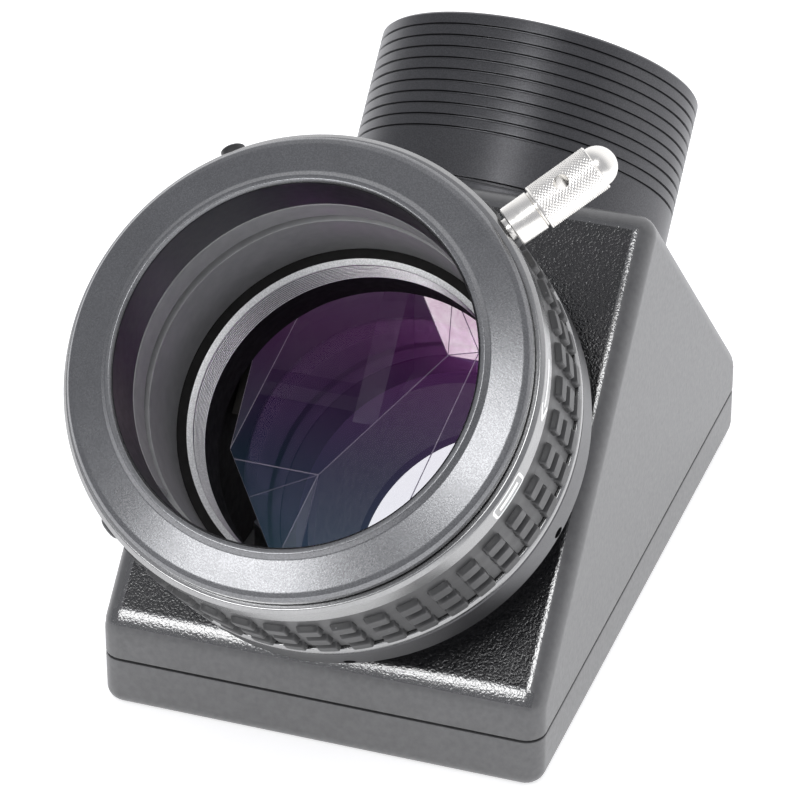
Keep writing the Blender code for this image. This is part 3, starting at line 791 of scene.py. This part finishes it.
def make_grip():
    low, high = 59.5, 75.9
    floor = RUBBER_R - PAD_RISE
    steps = (-0.3, -0.15, -0.05, 0.03, 0.15)
    heights = {low + 0.02, high - 0.02}
    for bottom, top in PAD_ROWS:
        heights |= {bottom - step for step in steps} | {top + step for step in steps}
        heights |= {bottom + (top - bottom) * k / 4 for k in (1, 2, 3)}
    outer = [(floor, h) for h in sorted(heights, reverse=True) if low < h < high]
    ends = (outer[0][1], outer[-1][1])
    wall = [(floor - 0.12 * (h in ends), h) for _, h in outer]
    profile = [(33.3, high), *wall, (33.3, low)]
    pitch = 360 / PAD_COLUMNS
    half = PAD_WIDTH / 2
    places = [-half + s for s in (-0.15, -0.03, 0.05, 0.15, 0.3)] + [-0.7, 0, 0.7]
    places += [half - s for s in (0.3, 0.15, 0.05, -0.03, -0.15)]
    places = [s / radians(1) / RUBBER_R for s in places] + [pitch / 2]
    angles = [PAD_ANGLE + column * pitch + place for column in range(PAD_COLUMNS) for place in places]
    grip = lathe("grip_rubber_detail", profile, EYEPIECE_AXIS, angles=angles,
                 relief=grip_relief, smooth_angle=40)
    finish_piece(grip, MATERIALS["rubber"], RING_BODY, "rubber", "grip_rubber")


def knurl_relief(radius, angle, h):
    """Diamond knurling between the barrel's two ends."""
    low, high, barrel_r, around, pitch, depth = 39.15, 48.45, 3.35, 40, 0.52, 0.13
    if radius < barrel_r - 0.001 or not low < h < high:
        return radius
    turn = around * angle / 360
    rise = h / pitch
    first = abs((turn + rise) % 1 - 0.5)
    second = abs((turn - rise) % 1 - 0.5)
    fade = min(1, (h - low) / 0.15, (high - h) / 0.15)
    return radius - fade * depth * (1 - 2 * min(0.5 - first, 0.5 - second))


def make_lever():
    dome_r, dome_centre, knurl_r = 2.9, 48.65, 3.35
    dome = [(dome_r * cos(radians(a)), dome_centre + dome_r * sin(radians(a))) for a in range(90, -1, -6)]
    dome[0] = (0, dome_centre + dome_r)
    knurl = [(knurl_r, 48.5 - 9.4 * k / 120) for k in range(121)]
    foot = rounded([
        (knurl_r, 39.1), (3.25, 39.0), (2.7, 39.0), (2.7, 38.75), (2.95, 38.65), (2.95, 34.65), (2.8, 34.5),
        (1.6, 34.5), (1.6, 31.5), (0, 31.5),
    ], 0.05, 2, closed=False)
    profile = [*dome, (knurl_r - 0.15, dome_centre), *knurl, *foot[1:]]
    angles = [360 * k / 160 for k in range(160)]
    lever = lathe("clamp_lever_detail", profile, radial_frame(LEVER_ANGLE), angles=angles, closed=False,
                  relief=knurl_relief, smooth_angle=50)
    cross_hole = cutter_rod(1.1, (-5, 0, 43.5), (5, 0, 43.5), radial_frame(LEVER_ANGLE), 32)
    carve(lever, [cross_hole], smooth_angle=50)
    finish_piece(lever, MATERIALS["nickel"], RING_BODY, "bright_nickel", "clamp_lever")


def make_plugs():
    """Two set screws in the lock ring's spare sockets, not turned in to the same depth."""
    head_r, stud_r, foot_r = 1.75, 1.6, 31.55
    for name, (angle, top) in PLUGS.items():
        profile = rounded([
            (0, top), (0.87, top), (1.4, top - 0.14), (head_r, top - 0.4), (head_r, top - 1.4),
            (stud_r, top - 1.4), (stud_r, foot_r), (0, foot_r),
        ], 0.12, closed=False)
        frame_here = radial_frame(angle)
        plug = lathe(f"plug_screw_{name}_detail", profile, frame_here, closed=False,
                     angles=[360 * k / 64 for k in range(64)])
        carve(plug, [cutter_rod(0.73, (0, 0, top - 0.8), (0, 0, top + 1), frame_here, 6)])
        finish_piece(plug, MATERIALS["plug"], RING_BODY, "matt_black", f"plug_screw_{name}")


def print_on_band(name, middle_angle, outlines):
    """A thin printed mark on the lock ring's band.

    Each outline is a list of (across, height) points of one flat patch, in millimetres, with across counted
    round the band from the mark's middle.
    """
    shape = bmesh.new()
    for outline in outlines:
        corners = [shape.verts.new((across, h, 0)) for across, h in outline]
        shape.faces.new(corners)
    bmesh.ops.remove_doubles(shape, verts=shape.verts, dist=0.001)
    raised = bmesh.ops.extrude_face_region(shape, geom=shape.faces[:])
    for item in raised["geom"]:
        if isinstance(item, bmesh.types.BMVert):
            item.co.z = 0.03
    for vert in shape.verts:
        across, h, lift = vert.co
        vert.co = polar(PRINT_R + 0.01 + lift, middle_angle + across / radians(1) / PRINT_R, h)
    mark = new_object(name, shape, EYEPIECE_AXIS)
    finish_piece(mark, MATERIALS["print"], RING_BODY, "satin_black")


def strip(start, end, half_width, pieces=6):
    """A straight printed line, as short patches that can follow the band."""
    start, end = Vector(start), Vector(end)
    side = (end - start).normalized()
    side = Vector((-side.y, side.x)) * half_width
    points = [start.lerp(end, k / pieces) for k in range(pieces + 1)]
    return [[a - side, b - side, b + side, a + side] for a, b in zip(points, points[1:])]


def frame_of(half_width, low, high, line, corner=0.8, steps=4):
    """A rounded rectangle drawn as a closed line."""
    def outline(shrink):
        radius = max(0.1, corner - shrink)
        points = []
        for quarter, (x, y) in enumerate(((1, 1), (-1, 1), (-1, -1), (1, -1))):
            cx = x * (half_width - shrink - radius)
            cy = (high - shrink - radius) if y > 0 else (low + shrink + radius)
            for k in range(steps + 1):
                turn = radians(90 * (quarter + k / steps))
                points.append(Vector((cx + radius * cos(turn), cy + radius * sin(turn))))
            if y > 0 and x > 0 or y < 0 and x < 0:
                side = half_width - shrink - radius
                points += [Vector((x * side * (1 - 2 * k / 6), points[-1].y)) for k in range(1, 6)]
        return points
    outer, inner = outline(0), outline(line)
    count = len(outer)
    return [[outer[k], outer[(k + 1) % count], inner[(k + 1) % count], inner[k]] for k in range(count)]


def make_prints():
    """The index window, and a plain arrow that shows which way to lock."""
    window = frame_of(3.4, 76.45, 80.15, 0.42)
    window += strip((-2.2, 78.2), (2.2, 78.2), 0.5)
    print_on_band("index_window_print", -19.6, window)
    arrow = strip((4.3, 78.4), (-2.4, 78.4), 0.36)
    arrow += strip((-4.2, 78.4), (-2.1, 79.95), 0.36, 3) + strip((-4.2, 78.4), (-2.1, 76.85), 0.36, 3)
    print_on_band("lock_arrow_print", 6.5, arrow)


# ---------------------------------------------------------------- hidden hardware keeps its CAD shape

def dress_hidden_nodes():
    finishes = {"steel": "steel", "foam": "pad", "bare_aluminium": "machined", "brass": "spring_brass"}
    slots = {row["node"]: row["material_slot"] for row in frame["record"]["subparts"]}
    for name, node in frame["nodes"].items():
        finish = finishes.get(slots[name])
        if node.hide_render or not finish:
            continue
        node.data.materials.clear()
        node.data.materials.append(MATERIALS[finish])


# ---------------------------------------------------------------- studio

def make_floor():
    shape = bmesh.new()
    bmesh.ops.create_grid(shape, x_segments=2, y_segments=2, size=6000)
    floor = new_object("floor", shape)
    floor.location.z = -0.0002
    nodes = Nodes("pale_floor")
    nodes.set(Base_Color=(0.86, 0.86, 0.87), Roughness=0.7, Emission_Color=(1, 1, 1), Emission_Strength=0.6)
    floor.data.materials.append(nodes.material)


def softbox(name, azimuth, elevation, distance, width, height, radiance):
    """A rectangular light that faces the object. Azimuth 0 is in front, and positive is to the right."""
    data = bpy.data.lights.new(name, "AREA")
    data.shape = "RECTANGLE"
    data.size = width
    data.size_y = height
    data.energy = radiance * pi * width * height
    light = bpy.data.objects.new(name, data)
    outward = direction(azimuth, elevation)
    light.location = outward * distance + Vector((0, 0, 0.05))
    light.rotation_euler = outward.to_track_quat("Z", "Y").to_euler()
    light.visible_camera = False
    bpy.context.scene.collection.objects.link(light)


def direction(azimuth, elevation):
    a, e = radians(azimuth), radians(elevation)
    return Vector((sin(a) * cos(e), -cos(a) * cos(e), sin(e)))


def make_lights():
    """Two softboxes in front, and a room that is white behind the object and dim in front of it."""
    softbox("key_left", -20, 29, 0.9, 0.32, 0.26, 5.8)
    softbox("key_right", 12, 49, 0.9, 0.24, 0.29, 5.8)
    world = bpy.data.worlds.new("studio")
    bpy.context.scene.world = world
    world.use_nodes = True
    tree = world.node_tree
    background = tree.nodes["Background"]
    place = tree.nodes.new("ShaderNodeTexCoord")
    facing = tree.nodes.new("ShaderNodeVectorMath")
    facing.operation = "DOT_PRODUCT"
    facing.inputs[1].default_value = Vector((0.25, 1, 0.1)).normalized()
    tree.links.new(place.outputs["Generated"], facing.inputs[0])
    remap = tree.nodes.new("ShaderNodeMapRange")
    remap.inputs["From Min"].default_value = -1
    remap.inputs["From Max"].default_value = 1
    tree.links.new(facing.outputs["Value"], remap.inputs["Value"])
    ramp = tree.nodes.new("ShaderNodeValToRGB")
    tree.links.new(remap.outputs["Result"], ramp.inputs["Fac"])
    elements = ramp.color_ramp.elements
    elements[0].position, elements[0].color = 0.5, (0.42, 0.425, 0.45, 1)
    elements[1].position, elements[1].color = 0.78, (1.0, 1.0, 1.02, 1)
    tree.links.new(ramp.outputs["Color"], background.inputs["Color"])
    background.inputs["Strength"].default_value = 1.15


def make_camera():
    """The camera's place, turn and focal length, as worked out from the object's known sizes."""
    data = bpy.data.cameras.new("camera")
    data.lens = 188.27
    data.sensor_width = 36
    data.clip_start = 0.01
    data.clip_end = 50
    camera = bpy.data.objects.new("camera", data)
    camera.location = (0.1730, -0.5123, 0.3574)
    camera.rotation_euler = (radians(90 - 31.314), 0, radians(19.221))
    bpy.context.scene.collection.objects.link(camera)
    bpy.context.scene.camera = camera


def main():
    make_camera()
    make_housing()
    make_cover()
    make_prism()
    make_nosepiece()
    make_mount_ring()
    make_clamp_body()
    make_flange()
    make_clamp_band()
    make_lock_ring()
    make_grip()
    make_lever()
    make_plugs()
    make_prints()
    dress_hidden_nodes()
    make_floor()
    make_lights()
    scene = bpy.context.scene
    scene.view_settings.view_transform = "Standard"
    scene.cycles.use_denoising = True
    scene.cycles.max_bounces = 24
    scene.cycles.transmission_bounces = 20
    scene.cycles.glossy_bounces = 8


main()
